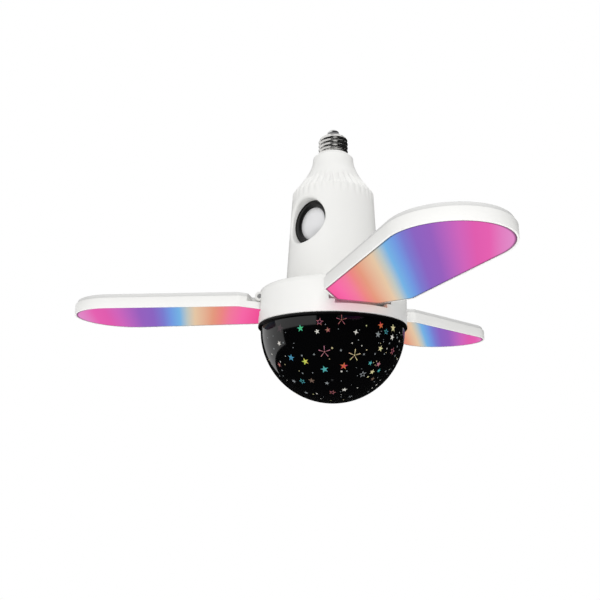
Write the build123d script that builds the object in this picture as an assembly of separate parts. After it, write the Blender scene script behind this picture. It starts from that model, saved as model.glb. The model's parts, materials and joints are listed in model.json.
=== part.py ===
from build123d import *
import os
from math import cos, radians, sin

os.makedirs("parts", exist_ok=True)

# All sizes are millimetres. Heights are counted from the lower rim of the collar, and
# export moves every piece so that the origin is where the screw shell meets the neck.

# Clearances shared by the whole lamp
fit_gap = 0.2
running_gap = 0.4
pin_gap = 0.03
shaft_gap = 0.05
cut_over = 1.0  # how far a cutting body runs past the face that it cuts

# Collar, the wide white hub that carries the blades
collar_r = 63.0
collar_h = 30.5
collar_wall = 2.2
collar_edge_r = 5.0
cable_hole_r = 14.0

# Blade hinges
blade_spacing = 120.0
left_azimuth = 180.0
blade_azimuths = {
    "left": left_azimuth,
    "front": left_azimuth - 2 * blade_spacing,
    "rear": left_azimuth - blade_spacing,
}
blade_lifts = {"left": 0.0, "front": 2.8, "rear": 1.7}  # degrees above level as the lamp is shown
hinge_inset = 3.0
hinge_pin_r = 2.0
pin_head_r = 3.2
pin_head_h = 1.2
knuckle_r = 4.0
knuckle_half_w = 14.8
ear_t = 4.0

# Hinge pockets in the collar
pocket_floor_z = 6.5
pocket_wall = 2.0
slot_gap = 4.0
shelf_gap = 1.6
shelf_w = 4.5
root_gap = 1.5
bracket_t = 5.4

# Blades, with their reach inwards and outwards from the hinge
blade_rise = 4.9
root_reach = 10.5
root_half_w = 18.5
shoulder_reach = 13.0
shoulder_half_w = 38.2
blade_reach = 128.0
tip_half_w = 43.0
root_corner_r = 7.0
lower_tier_h = 9.0
blade_h = 12.6
tier_step = 1.6
blade_wall = 1.8
thin_root_h = 5.5
thick_start_reach = 7.5
border_w = 2.0
ledge_w = 1.0
panel_t = 1.6
panel_recess = 0.3

# Circuit board and light chips in each blade
board_t = 1.6
led_board_inset = 9.0
led_board_overrun = 24.0
led_board_half_w = 29.0
led_board_corner_r = 17.0
led_size = 5.0
led_h = 1.6
led_columns = 9
led_row_v = 18.0

# Chassis plate that closes the collar from below
chassis_t = 3.0
chassis_z = 1.2
chassis_screw_inset = 10.0
boss_r = 4.2
boss_root = 0.5
screw_r = 1.5
screw_head_r = 2.8
screw_head_h = 1.6
screw_drive_r = 1.1
screw_drive_h = 0.7
screw_sink = 0.4
screw_len = 12.0

# Star dome and what turns it
dome_inset = 2.0
dome_wall = 1.8
dome_skirt_h = 1.2
dome_ring_lip = 0.2
dome_ring_w = 5.0
dome_ring_t = 2.2
rim_gap = 0.4
carrier_t = 2.0
carrier_ring_w = 5.0
carrier_arm_w = 7.0
carrier_arm_count = 3
carrier_boss_r = 6.5
carrier_boss_h = 6.0
shaft_r = 2.5
motor_r = 17.0
motor_h = 15.0
motor_ear_span = 21.5
motor_ear_r = 4.0
motor_ear_t = 2.0
motor_edge_r = 1.0
motor_pilot_h = 2.4
shaft_depth = 11.0
star_board_r = 42.0
star_board_hole_r = 20.0
star_led_r = 3.2
star_led_circle_r = 31.0
star_led_count = 6

# Upper housing, from the collar up to the screw base
foot_r = 40.4
barrel_top_r = 35.7
barrel_top_z = 118.0
crown_r = 32.2
crown_z = 122.4
neck_r = 17.9
neck_top_z = 153.6
neck_edge_r = 1.2
neck_step_r = 14.5
neck_step_h = 2.9
housing_wall = 2.0
flute_count = 36
flute_r = 1.4
upper_flute_z = 134.0
upper_flute_len = 8.0
lower_flute_len = 12.0
flute_depth = 0.75
flare_start_slope = (-0.6, 0.8)
flare_end_slope = (-0.02, 1.0)
flute_slope = (-0.56, 0.83)
flute_share = 0.585  # where the upper flutes lie between the crown's radius and the neck's

# Screw base
shell_r = 13.15
shell_wall = 0.4
shell_straight_h = 12.5
shell_taper_h = 4.5
shell_mouth_r = 9.6
stub_h = 9.0
insulator_top_r = 5.2
insulator_h = 4.4
contact_h = 2.6
contact_flat_r = 3.8

# Loudspeaker in the side of the upper housing
speaker_azimuth = -126.0
speaker_z = 86.5
well_r = 19.9
well_wall = 1.8
well_ledge_r = 16.6
well_ledge_t = 1.8
flange_t = 1.8
speaker_seat = 22.6
cone_r = 14.1
cone_rise = 3.6
cone_t = 0.7
cone_gap = 0.3
roll_t = 0.8
basket_back_r = 11.0
basket_depth = 9.0
basket_wall = 1.2
magnet_r = 12.5
magnet_t = 6.0
coil_r = 6.5
coil_t = 0.5
coil_gap = 0.7

# Circuit boards in the upper housing
control_board_r = 27.0
post_r = 2.0
post_h = 3.0
post_circle_r = 21.0
post_count = 3
radio_l = 18.0
radio_w = 13.0
radio_h = 3.0
power_board_z = 110.5
power_board_gap = 0.5
power_ledge_w = 2.0
transformer_l = 17.0
transformer_w = 14.0
transformer_h = 13.0
core_l = 10.0
bobbin_w = 10.0
bobbin_h = 9.0
transformer_foot_h = 2.0
capacitor_r = 5.5
capacitor_h = 18.0
capacitor_edge_r = 0.8
joint_screw_inset = 5.4
joint_boss_h = 10.0

# Heights and radii that follow from the sizes above
half_spacing = blade_spacing / 2
seat_z = neck_top_z + neck_step_h
shell_top_z = seat_z + shell_straight_h + shell_taper_h
stub_r = shell_r - shell_wall
roof_z = collar_h - collar_wall
hinge_r = collar_r - hinge_inset
hinge_z = roof_z - running_gap - knuckle_r
notch_r = hinge_r - hinge_inset / 2
notch_half_w = knuckle_half_w + 2 * running_gap
blade_root_r = hinge_r - root_reach
shoulder_r = hinge_r + shoulder_reach
thick_start_r = hinge_r + thick_start_reach
tip_centre_r = hinge_r + blade_reach
tip_r = tip_centre_r + tip_half_w
blade_z = pocket_floor_z + blade_rise
blade_top_z = blade_z + blade_h
root_top_z = blade_z + thin_root_h
panel_top_z = blade_z + panel_recess + panel_t
led_board_start_r = shoulder_r + led_board_inset
led_board_end_r = tip_centre_r + led_board_overrun
slot_half_w = root_half_w + slot_gap
shelf_z = blade_z - shelf_gap
pocket_half_w = slot_half_w + shelf_w
pocket_back_r = blade_root_r - root_gap
chassis_top_z = chassis_z + chassis_t
chassis_r = collar_r - collar_wall - fit_gap
chassis_screw_r = collar_r - chassis_screw_inset
joint_screw_r = foot_r - joint_screw_inset
dome_r = collar_r - dome_inset
dome_ring_r = collar_r + dome_ring_lip
dome_ring_inner_r = dome_r - dome_ring_w
dome_ring_top_z = -rim_gap
dome_top_z = dome_ring_top_z - dome_ring_t
dome_centre_z = dome_top_z - dome_skirt_h
ear_inner_v = knuckle_half_w + running_gap
ear_outer_v = ear_inner_v + ear_t
bracket_front_r = pocket_back_r + fit_gap + bracket_t
bracket_low_z = root_top_z + 2 * running_gap
bracket_top_z = roof_z - fit_gap
bracket_half_w = pocket_half_w - fit_gap
bracket_screw_v = (ear_outer_v + bracket_half_w) / 2
bracket_screw_z = (bracket_low_z + bracket_top_z) / 2
speaker_face = speaker_seat + flange_t
board_seat_z = collar_h + post_h
blade_ceiling_z = blade_top_z - blade_wall


def export(node, shape):
    """Writes one piece, moved so that the screw base's seat is at the origin."""
    placed = Pos(0, 0, -seat_z) * shape
    placed.label = node
    export_step(placed, f"parts/{node}.step")


def disc(radius, low_z, height):
    return Pos(0, 0, low_z) * Cylinder(radius, height, align=(Align.CENTER, Align.CENTER, Align.MIN))


def ring(outer_r, inner_r, low_z, height):
    return disc(outer_r, low_z, height) - disc(inner_r, low_z - cut_over, height + 2 * cut_over)


def block(u0, u1, half_v, z0, z1):
    """A box from radius u0 to u1, symmetric across the radial line."""
    return Pos((u0 + u1) / 2, 0, (z0 + z1) / 2) * Box(u1 - u0, 2 * half_v, z1 - z0)


def spin(shape, azimuth):
    return Rot(0, 0, azimuth) * shape


def across(radius, length, u, z):
    """A cylinder whose axis runs across the radial line, like a hinge pin."""
    return Pos(u, 0, z) * Rot(90, 0, 0) * Cylinder(radius, length)


def around(shape, count):
    """Copies of a shape at equal angles about the lamp's axis."""
    return [spin(shape, 360.0 * i / count) for i in range(count)]


def spun_points(points):
    """A body turned from straight runs between points given as radius and height."""
    return revolve(make_face(Plane.XZ * Polyline(*points, close=True)), Axis.Z)


# Screw base


def screw_shell():
    inner = shell_wall
    z1 = seat_z + shell_straight_h
    return spun_points([
        (shell_r, seat_z),
        (shell_r, z1),
        (shell_mouth_r, shell_top_z),
        (shell_mouth_r - inner, shell_top_z),
        (shell_r - inner, z1 - inner),
        (shell_r - inner, seat_z),
    ])


def base_insulator():
    low_r = shell_mouth_r - shell_wall - fit_gap / 2
    low = shell_top_z - shell_wall
    return spun_points([
        (0, low),
        (low_r, low),
        (low_r, shell_top_z),
        (insulator_top_r, shell_top_z + insulator_h),
        (0, shell_top_z + insulator_h),
    ])


def centre_contact():
    low = shell_top_z + insulator_h
    return spun_points([
        (0, low),
        (insulator_top_r - fit_gap, low),
        (insulator_top_r - fit_gap, low + contact_h / 2),
        (contact_flat_r, low + contact_h),
        (0, low + contact_h),
    ])


# Upper housing


def envelope(inset, foot_z, top_z):
    """The bell shape of the upper housing, drawn in by an inset on every radius."""
    foot = (foot_r - inset, foot_z)
    edge = (barrel_top_r - inset, barrel_top_z)
    crown = (crown_r - inset, crown_z)
    neck = (neck_r - inset, top_z)
    side = Polyline((0, foot_z), foot, edge, crown)
    flare = Spline(crown, neck, tangents=[flare_start_slope, flare_end_slope])
    lid = Polyline(neck, (0, top_z), (0, foot_z))
    return revolve(make_face(Plane.XZ * (side + flare + lid)), Axis.Z)


def flute_cutters(radius, height, length, slope):
    """A ring of round grooves that lie along the slope of the housing."""
    out = flute_r - flute_depth
    centre = Vector(radius + out * slope.Z, 0, height - out * slope.X)
    groove = Plane(origin=centre, z_dir=slope) * Cylinder(flute_r, length)
    return around(groove, flute_count)


def speaker_plane():
    azimuth = radians(speaker_azimuth)
    return Plane(origin=(0, 0, speaker_z), x_dir=(0, 0, 1), z_dir=(cos(azimuth), sin(azimuth), 0))


def out_cylinder(radius, start, length):
    """A cylinder along the loudspeaker's axis, from a distance off the lamp's axis."""
    flat = Cylinder(radius, length, align=(Align.CENTER, Align.CENTER, Align.MIN))
    return speaker_plane() * Pos(0, 0, start) * flat


def flutes():
    """Both rings of grooves, one across the shoulder's edge and one on the flare."""
    edge_r = (barrel_top_r + crown_r) / 2
    edge_z = (barrel_top_z + crown_z) / 2
    edge_slope = Vector(crown_r - barrel_top_r, 0, crown_z - barrel_top_z).normalized()
    flare_r = crown_r + (neck_r - crown_r) * flute_share
    flare_slope = Vector(flute_slope[0], 0, flute_slope[1]).normalized()
    lower = flute_cutters(edge_r, edge_z, lower_flute_len, edge_slope)
    return lower + flute_cutters(flare_r, upper_flute_z, upper_flute_len, flare_slope)


def joint_posts(radius, height):
    """Posts for the screws between the collar and the housing, one in line with each blade."""
    post = Pos(joint_screw_r, 0, 0) * disc(radius, collar_h, height)
    return [spin(post, azimuth) for azimuth in blade_azimuths.values()]


def upper_housing():
    whole = envelope(0, collar_h, neck_top_z)
    outer = fillet(whole.edges().group_by(Axis.Z)[-1], neck_edge_r) - flutes()
    inside = envelope(housing_wall, collar_h, neck_top_z - housing_wall)
    well = out_cylinder(well_r + well_wall, speaker_seat - well_ledge_t, foot_r)
    ledge_r = barrel_top_r - power_ledge_w
    ledge = ring(foot_r, ledge_r - housing_wall, power_board_z - power_ledge_w, power_ledge_w)
    extras = (well + ledge + joint_posts(boss_r, joint_boss_h)) & whole
    housing = outer - inside + extras
    housing += disc(neck_step_r, neck_top_z - housing_wall, neck_step_h + housing_wall)
    housing += disc(stub_r, seat_z, stub_h)
    housing -= disc(stub_r - housing_wall, neck_top_z - 2 * housing_wall, 4 * stub_h)
    housing -= out_cylinder(well_r, speaker_seat, foot_r)
    housing -= out_cylinder(well_ledge_r, speaker_seat - 2 * well_ledge_t, foot_r)
    return housing - joint_posts(screw_r, joint_boss_h - cut_over)


# Loudspeaker, built along its own axis


def basket_cup(inset):
    """The basket's conical back, drawn in by its wall for the hollow."""
    low = speaker_seat - basket_depth + inset
    flat = (Align.CENTER, Align.CENTER, Align.MIN)
    cup = Cone(basket_back_r - inset, well_ledge_r - fit_gap - inset, basket_depth - inset, align=flat)
    return speaker_plane() * Pos(0, 0, low) * cup


def speaker_basket():
    flange = out_cylinder(well_r - fit_gap, speaker_seat, flange_t)
    mouth = out_cylinder(well_ledge_r - fit_gap - basket_wall, speaker_seat, flange_t)
    coil_hole = out_cylinder(coil_r + coil_gap, speaker_seat - 2 * basket_depth, 2 * basket_depth)
    return flange + basket_cup(0) - basket_cup(basket_wall) - mouth - coil_hole


def speaker_surround():
    """The rubber half roll between the basket's flange and the cone."""
    inner_r = cone_r + cone_gap
    outer_r = well_r - 2 * fit_gap
    mid_r = (inner_r + outer_r) / 2
    roll_r = (outer_r - inner_r) / 2
    face = Pos(mid_r, 0) * (Circle(roll_r) - Circle(roll_r - roll_t))
    face &= Pos(mid_r, roll_r) * Rectangle(4 * roll_r, 2 * roll_r)
    roll = revolve(Plane.XZ * face, Axis.Z)
    return speaker_plane() * Pos(0, 0, speaker_face) * roll


def cone_cap(rise_cut):
    """A shallow dome cut from a ball, as high as the cone rises."""
    ball_r = (cone_r ** 2 + cone_rise ** 2) / (2 * cone_rise)
    ball = Pos(0, 0, cone_rise - ball_r) * Sphere(ball_r - rise_cut)
    return ball & disc(2 * cone_r, 0, 2 * cone_rise)


def speaker_cone():
    cap = cone_cap(0) - cone_cap(cone_t)
    return speaker_plane() * Pos(0, 0, speaker_face + roll_t) * cap


def voice_coil():
    low = speaker_seat - basket_depth - magnet_t / 2
    former = out_cylinder(coil_r, low, speaker_face + roll_t + cone_rise / 2 - low)
    former -= out_cylinder(coil_r - coil_t, low - cut_over, 2 * basket_depth + 2 * magnet_t)
    under_cap = speaker_plane() * Pos(0, 0, speaker_face + roll_t) * cone_cap(cone_t)
    low_part = out_cylinder(2 * coil_r, low, speaker_face + roll_t - low)
    return former & (low_part + under_cap)


def speaker_magnet():
    back = speaker_seat - basket_depth - magnet_t
    core = out_cylinder(coil_r - coil_t - coil_gap, back, magnet_t)
    slot = out_cylinder(coil_r + coil_gap, back + cut_over, magnet_t)
    return out_cylinder(magnet_r, back, magnet_t) - slot + core


# Collar and chassis


def hinge_pocket():
    """What is cut from the collar for one hinge: a slot, the shelves beside it and the roof's notch."""
    slot = block(pocket_back_r, 2 * collar_r, slot_half_w, pocket_floor_z, roof_z)
    recess = block(pocket_back_r, 2 * collar_r, pocket_half_w, shelf_z, roof_z)
    notch = block(notch_r, 2 * collar_r, notch_half_w, roof_z - cut_over, 2 * collar_h)
    return slot + recess + notch


def chassis_posts(radius, low_z, height):
    """Posts or holes for the chassis plate's screws, halfway between the blades."""
    post = Pos(chassis_screw_r, 0, 0) * disc(radius, low_z, height)
    return [spin(post, azimuth + half_spacing) for azimuth in blade_azimuths.values()]


def collar():
    outer = fillet(disc(collar_r, 0, collar_h).edges().group_by(Axis.Z)[-1], collar_edge_r)
    inside = disc(collar_r - collar_wall, -cut_over, roof_z + cut_over)
    inside = fillet(inside.edges().group_by(Axis.Z)[-1], collar_edge_r - collar_wall)
    body = outer - inside
    walls_back_r = pocket_back_r - pocket_wall
    walls = block(walls_back_r, collar_r, pocket_half_w + pocket_wall, pocket_floor_z - pocket_wall, collar_h)
    for azimuth in blade_azimuths.values():
        body += spin(walls, azimuth) & outer
    body += chassis_posts(boss_r, chassis_top_z, roof_z - chassis_top_z + boss_root)
    for azimuth in blade_azimuths.values():
        body -= spin(hinge_pocket(), azimuth)
        body -= [spin(hole, azimuth) for hole in bracket_holes(screw_r)]
    body -= disc(cable_hole_r, 0, 2 * collar_h)
    body += around(Pos(post_circle_r, 0, 0) * disc(post_r, collar_h, post_h), post_count)
    joint_hole = Pos(joint_screw_r, 0, 0) * disc(screw_r + pin_gap, 0, 2 * collar_h)
    body -= [spin(joint_hole, azimuth) for azimuth in blade_azimuths.values()]
    return body - chassis_posts(screw_r, 0, chassis_top_z + screw_len)


def chassis_plate():
    plate = disc(chassis_r, chassis_z, chassis_t) - disc(carrier_boss_r, chassis_z - cut_over, 2 * chassis_t)
    plate -= chassis_posts(screw_r + pin_gap, 0, 2 * chassis_top_z)
    plate -= chassis_posts(screw_head_r + pin_gap, 0, chassis_z + screw_head_h)
    motor_hole = Pos(motor_ear_span, 0, 0) * disc(screw_r, chassis_top_z - motor_pilot_h, chassis_t)
    return plate - around(motor_hole, 2)


def screw(length):
    """A screw, head up, with the underside of its head at zero."""
    head = disc(screw_head_r, 0, screw_head_h)
    drive = disc(screw_drive_r, screw_head_h - screw_drive_h, screw_head_h)
    return head - drive + disc(screw_r - pin_gap, -length, length)


def chassis_screws():
    upright = Pos(chassis_screw_r, 0, chassis_z + screw_head_h) * Rot(180, 0, 0) * screw(screw_len)
    return Compound(children=[spin(upright, azimuth + half_spacing) for azimuth in blade_azimuths.values()])


def joint_screws():
    upright = Pos(joint_screw_r, 0, roof_z) * Rot(180, 0, 0) * screw(joint_boss_h)
    return Compound(children=[spin(upright, azimuth) for azimuth in blade_azimuths.values()])


# Hinges


def radial(shape, u, v):
    """Lays an upright shape down so that it points outwards at a bracket screw's height."""
    return Pos(u, v, bracket_screw_z) * Rot(0, 90, 0) * shape


def bracket_holes(radius):
    """Two radial screw holes through the back of a hinge bracket, outside its ears."""
    depth = bracket_t + 2 * pocket_wall
    hole = Cylinder(radius, depth)
    return [radial(hole, bracket_front_r - depth / 2, v) for v in (-bracket_screw_v, bracket_screw_v)]


def hinge_bracket():
    back = block(pocket_back_r + fit_gap / 2, bracket_front_r, bracket_half_w, bracket_low_z, bracket_top_z)
    ear = block(bracket_front_r - cut_over, hinge_r, ear_t / 2, hinge_z - knuckle_r, hinge_z + knuckle_r)
    ear += across(knuckle_r, ear_t, hinge_r, hinge_z)
    mid_v = ear_inner_v + ear_t / 2
    body = back + [Pos(0, v, 0) * ear for v in (-mid_v, mid_v)]
    body -= across(hinge_pin_r + pin_gap, 4 * pocket_half_w, hinge_r, hinge_z)
    sink_depth = screw_head_h + screw_sink
    sink = Cylinder(screw_head_r + 2 * pin_gap, sink_depth)
    sinks = [radial(sink, bracket_front_r - sink_depth / 2, v) for v in (-bracket_screw_v, bracket_screw_v)]
    return body - bracket_holes(screw_r + pin_gap) - sinks


def bracket_screws():
    under_head = bracket_front_r - screw_head_h - screw_sink
    pair = [radial(screw(bracket_t), under_head, v) for v in (-bracket_screw_v, bracket_screw_v)]
    pieces = []
    for azimuth in blade_azimuths.values():
        pieces += [spin(fixing, azimuth) for fixing in pair]
    return Compound(children=pieces)


def hinge_pin():
    body = across(hinge_pin_r, 2 * ear_outer_v, hinge_r, hinge_z)
    return body + Pos(0, -ear_outer_v - pin_head_h / 2, 0) * across(pin_head_r, pin_head_h, hinge_r, hinge_z)


# Blades, built along +X and turned to their place


def blade_outline(inset):
    """The leaf shape seen from below: chamfered root, widening sides and a round tip."""
    start = (blade_root_r, root_half_w)
    corner = (shoulder_r, shoulder_half_w)
    end = (tip_centre_r, tip_half_w)
    left = Polyline((blade_root_r, 0), start, corner, end)
    right = Polyline((blade_root_r, 0), (start[0], -start[1]), (corner[0], -corner[1]), (end[0], -end[1]))
    tip = ThreePointArc(end, (tip_r, 0), (end[0], -end[1]))
    face = make_face(left + tip + right)
    corners = face.vertices().filter_by(lambda corner: corner.X < tip_centre_r - fit_gap)
    corners = corners.filter_by(lambda corner: abs(corner.Y) > fit_gap)
    face = fillet(corners, root_corner_r)
    return offset(face, -inset, kind=Kind.INTERSECTION) if inset else face


def slab(inset, low, high):
    return extrude(Pos(0, 0, low) * blade_outline(inset), high - low)


def blade_housing():
    wide = 2 * tip_half_w
    lower = slab(0, blade_z, blade_z + lower_tier_h)
    upper = slab(tier_step, blade_z + lower_tier_h, blade_top_z)
    upper = fillet(upper.edges().group_by(Axis.Z)[-1], tier_step)
    body = lower + upper - block(0, thick_start_r, wide, root_top_z, 2 * blade_top_z)
    body -= slab(border_w, blade_z - cut_over, panel_top_z)
    cavity = slab(border_w + ledge_w, blade_z, blade_ceiling_z)
    cavity -= block(0, thick_start_r + blade_wall, wide, root_top_z - blade_wall, 2 * blade_top_z)
    body -= cavity
    web_end_r = thick_start_r + blade_wall
    body += block(hinge_r - knuckle_r / 2, web_end_r, knuckle_half_w, root_top_z - blade_wall, hinge_z)
    body += across(knuckle_r, 2 * knuckle_half_w, hinge_r, hinge_z)
    return body - across(hinge_pin_r + shaft_gap, 4 * knuckle_half_w, hinge_r, hinge_z)


def light_panel():
    return slab(border_w + fit_gap, blade_z + panel_recess, panel_top_z)


def led_board():
    middle = (led_board_start_r + led_board_end_r) / 2
    length = led_board_end_r - led_board_start_r
    low = blade_ceiling_z - board_t
    plan = RectangleRounded(length, 2 * led_board_half_w, led_board_corner_r)
    board = Pos(middle, 0, low) * extrude(plan, board_t)
    pitch = (length - 4 * led_size) / (led_columns - 1)
    chip = Pos(led_board_start_r + 2 * led_size, 0, low - led_h / 2) * Box(led_size, led_size, led_h)
    for column in range(led_columns):
        board += [Pos(column * pitch, v, 0) * chip for v in (-led_row_v, led_row_v)]
    return board


def placed_blade(shape, side):
    """Lifts a piece of a blade about its hinge and turns it to its side of the lamp."""
    lifted = Pos(hinge_r, 0, hinge_z) * Rot(0, -blade_lifts[side], 0) * Pos(-hinge_r, 0, -hinge_z) * shape
    return spin(lifted, blade_azimuths[side])


# Star dome and its drive


def dome_ring():
    return ring(dome_ring_r, dome_ring_inner_r, dome_top_z, dome_ring_t)


def star_dome():
    ball = Pos(0, 0, dome_centre_z) * (Sphere(dome_r) - Sphere(dome_r - dome_wall))
    ball &= disc(2 * dome_r, dome_centre_z - 2 * dome_r, 2 * dome_r)
    return ball + ring(dome_r, dome_r - dome_wall, dome_centre_z, dome_skirt_h)


def dome_carrier():
    """The spoked wheel that hangs the dome on the motor's shaft."""
    low = dome_top_z - carrier_t
    outer_r = dome_r - dome_wall - fit_gap
    wheel = ring(outer_r, outer_r - carrier_ring_w, low, carrier_t)
    arm = block(0, outer_r - carrier_ring_w / 2, carrier_arm_w / 2, low, low + carrier_t)
    wheel += around(arm, carrier_arm_count)
    wheel += disc(carrier_boss_r - running_gap, low - carrier_boss_h + carrier_t, carrier_boss_h)
    return wheel - disc(shaft_r + pin_gap, low - 2 * carrier_boss_h, 4 * carrier_boss_h)


def drive_shaft():
    low = dome_top_z - carrier_boss_h
    return disc(shaft_r, low, chassis_top_z + shaft_depth - low)


def gear_motor():
    body = fillet(disc(motor_r, chassis_top_z, motor_h).edges().group_by(Axis.Z)[-1], motor_edge_r)
    body += around(Pos(motor_ear_span, 0, 0) * disc(motor_ear_r, chassis_top_z, motor_ear_t), 2)
    body += block(-motor_ear_span, motor_ear_span, motor_ear_r, chassis_top_z, chassis_top_z + motor_ear_t)
    body -= around(Pos(motor_ear_span, 0, 0) * disc(screw_r + pin_gap, 0, 4 * chassis_top_z), 2)
    return body - disc(shaft_r + shaft_gap, 0, chassis_top_z + shaft_depth + running_gap)


def motor_screws():
    top = chassis_top_z + motor_ear_t
    fixing = Pos(motor_ear_span, 0, top) * screw(motor_ear_t + motor_pilot_h - fit_gap)
    return Compound(children=around(fixing, 2))


def star_led_board():
    """The ring of lights under the chassis plate that shines down into the dome."""
    board = ring(star_board_r, star_board_hole_r, chassis_z - board_t, board_t)
    bulb_depth = chassis_z - board_t - dome_top_z - running_gap
    bulb = Pos(star_led_circle_r, 0, 0) * disc(star_led_r, chassis_z - board_t - bulb_depth, bulb_depth)
    return board + around(bulb, star_led_count)


# Circuit boards in the upper housing


def control_board():
    return disc(control_board_r, board_seat_z, board_t)


def wireless_module():
    low = board_seat_z + board_t
    return Pos(control_board_r / 3, 0, low + radio_h / 2) * Box(radio_w, radio_l, radio_h)


def power_board():
    slope = (foot_r - barrel_top_r) / (barrel_top_z - collar_h)
    wall_r = barrel_top_r + (barrel_top_z - power_board_z - board_t) * slope - housing_wall
    return disc(wall_r - power_board_gap, power_board_z, board_t)


def transformer():
    low = power_board_z + board_t
    core = Box(core_l, transformer_w, transformer_h)
    bobbin = Box(transformer_l, bobbin_w, bobbin_h)
    foot = Box(transformer_l, transformer_w, transformer_foot_h)
    foot = Pos(0, 0, (transformer_foot_h - transformer_h) / 2) * foot
    return Pos(-transformer_l / 2, 0, low + transformer_h / 2) * (core + bobbin + foot)


def capacitor():
    can = disc(capacitor_r, power_board_z + board_t, capacitor_h)
    return Pos(capacitor_r * 2, 0, 0) * fillet(can.edges().group_by(Axis.Z)[-1], capacitor_edge_r)


export("centre_contact", centre_contact())
export("base_insulator", base_insulator())
export("screw_shell", screw_shell())
export("upper_housing", upper_housing())
export("speaker_basket", speaker_basket())
export("speaker_surround", speaker_surround())
export("speaker_cone", speaker_cone())
export("voice_coil", voice_coil())
export("speaker_magnet", speaker_magnet())
export("control_board", control_board())
export("wireless_module", wireless_module())
export("power_board", power_board())
export("transformer", transformer())
export("filter_capacitor", capacitor())
export("collar", collar())
export("joint_screws", joint_screws())
export("chassis_plate", chassis_plate())
export("chassis_screws", chassis_screws())
export("bracket_screws", bracket_screws())
export("gear_motor", gear_motor())
export("motor_screws", motor_screws())
export("star_led_board", star_led_board())
export("drive_shaft", drive_shaft())
export("dome_carrier", dome_carrier())
export("dome_ring", dome_ring())
export("star_dome", star_dome())
for side, azimuth in blade_azimuths.items():
    export(f"hinge_bracket_{side}", spin(hinge_bracket(), azimuth))
    export(f"hinge_pin_{side}", spin(hinge_pin(), azimuth))
    export(f"blade_housing_{side}", placed_blade(blade_housing(), side))
    export(f"led_board_{side}", placed_blade(led_board(), side))
    export(f"light_panel_{side}", placed_blade(light_panel(), side))
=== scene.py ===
import json
import math

import bmesh
import bpy
import numpy as np
from mathutils import Matrix, Vector


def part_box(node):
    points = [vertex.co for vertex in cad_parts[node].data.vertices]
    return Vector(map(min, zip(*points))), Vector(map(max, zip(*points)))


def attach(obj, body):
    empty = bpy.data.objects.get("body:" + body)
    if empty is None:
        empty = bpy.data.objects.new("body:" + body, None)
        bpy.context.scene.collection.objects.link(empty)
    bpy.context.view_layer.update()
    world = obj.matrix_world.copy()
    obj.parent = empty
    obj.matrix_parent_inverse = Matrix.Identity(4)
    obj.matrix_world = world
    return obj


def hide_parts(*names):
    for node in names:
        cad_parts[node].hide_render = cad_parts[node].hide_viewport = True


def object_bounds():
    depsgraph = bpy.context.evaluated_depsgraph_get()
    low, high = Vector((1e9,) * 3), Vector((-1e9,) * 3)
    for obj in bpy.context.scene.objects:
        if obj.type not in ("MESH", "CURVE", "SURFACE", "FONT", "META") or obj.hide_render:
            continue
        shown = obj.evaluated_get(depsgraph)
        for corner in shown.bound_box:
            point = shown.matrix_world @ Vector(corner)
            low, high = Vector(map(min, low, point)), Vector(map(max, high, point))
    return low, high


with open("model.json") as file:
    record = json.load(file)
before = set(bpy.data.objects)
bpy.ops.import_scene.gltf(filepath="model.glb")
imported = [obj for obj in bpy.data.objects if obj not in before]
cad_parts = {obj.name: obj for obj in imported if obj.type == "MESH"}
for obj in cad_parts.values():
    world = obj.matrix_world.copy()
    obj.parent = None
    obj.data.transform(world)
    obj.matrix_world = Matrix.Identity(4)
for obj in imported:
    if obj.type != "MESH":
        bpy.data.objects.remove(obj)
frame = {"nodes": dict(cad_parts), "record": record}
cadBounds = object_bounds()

mm = 0.001
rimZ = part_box("collar")[0][2]  # lower rim of the hub, which every height below is counted from
lampUp = Vector((0, 0, 1))
bladeSides = {"left": 180.0, "front": -60.0, "rear": 60.0}


# Node trees: one wrapper serves both materials and geometry

class Wire:
    def __init__(self, tree, socket):
        self.tree = tree
        self.socket = socket

    def join(self, operation, first, second):
        return self.tree.node("ShaderNodeMath", {"operation": operation}, [first, second])

    def __add__(self, other):
        return self.join("ADD", self, other)

    def __radd__(self, other):
        return self.join("ADD", other, self)

    def __sub__(self, other):
        return self.join("SUBTRACT", self, other)

    def __rsub__(self, other):
        return self.join("SUBTRACT", other, self)

    def __mul__(self, other):
        return self.join("MULTIPLY", self, other)

    def __rmul__(self, other):
        return self.join("MULTIPLY", other, self)

    def __truediv__(self, other):
        return self.join("DIVIDE", self, other)

    def __rtruediv__(self, other):
        return self.join("DIVIDE", other, self)


class Tree:
    def __init__(self, nodeTree):
        self.nodeTree = nodeTree

    def feed(self, socket, value):
        if isinstance(value, Wire):
            self.nodeTree.links.new(value.socket, socket)
        elif value is not None:
            socket.default_value = value

    def node(self, kind, settings=None, values=(), out=0):
        made = self.nodeTree.nodes.new(kind)
        for name, value in (settings or {}).items():
            if name == "stops":
                self.setStops(made.color_ramp, value)
            else:
                setattr(made, name, value)
        pairs = values.items() if isinstance(values, dict) else enumerate(values)
        for key, value in pairs:
            self.feed(made.inputs[key], value)
        return Wire(self, made.outputs[out])

    def setStops(self, ramp, stops):
        while len(ramp.elements) > 1:
            ramp.elements.remove(ramp.elements[-1])
        ramp.elements[0].position = stops[0][0]
        ramp.elements[0].color = (*stops[0][1], 1)
        for place, colour in stops[1:]:
            ramp.elements.new(place).color = (*colour, 1)


def newFinish(name, colour, roughness=0.4, metallic=0.0, specular=0.5):
    material = bpy.data.materials.new(name)
    material.use_nodes = True
    shader = material.node_tree.nodes["Principled BSDF"]
    shader.inputs["Base Color"].default_value = (*colour, 1)
    shader.inputs["Roughness"].default_value = roughness
    shader.inputs["Metallic"].default_value = metallic
    shader.inputs["Specular IOR Level"].default_value = specular
    return material, Tree(material.node_tree), shader


def noise(tree, scale, detail=2.0):
    place = tree.node("ShaderNodeTexCoord", out=3)
    return tree.node("ShaderNodeTexNoise", values={"Vector": place, "Scale": scale, "Detail": detail})


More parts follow.
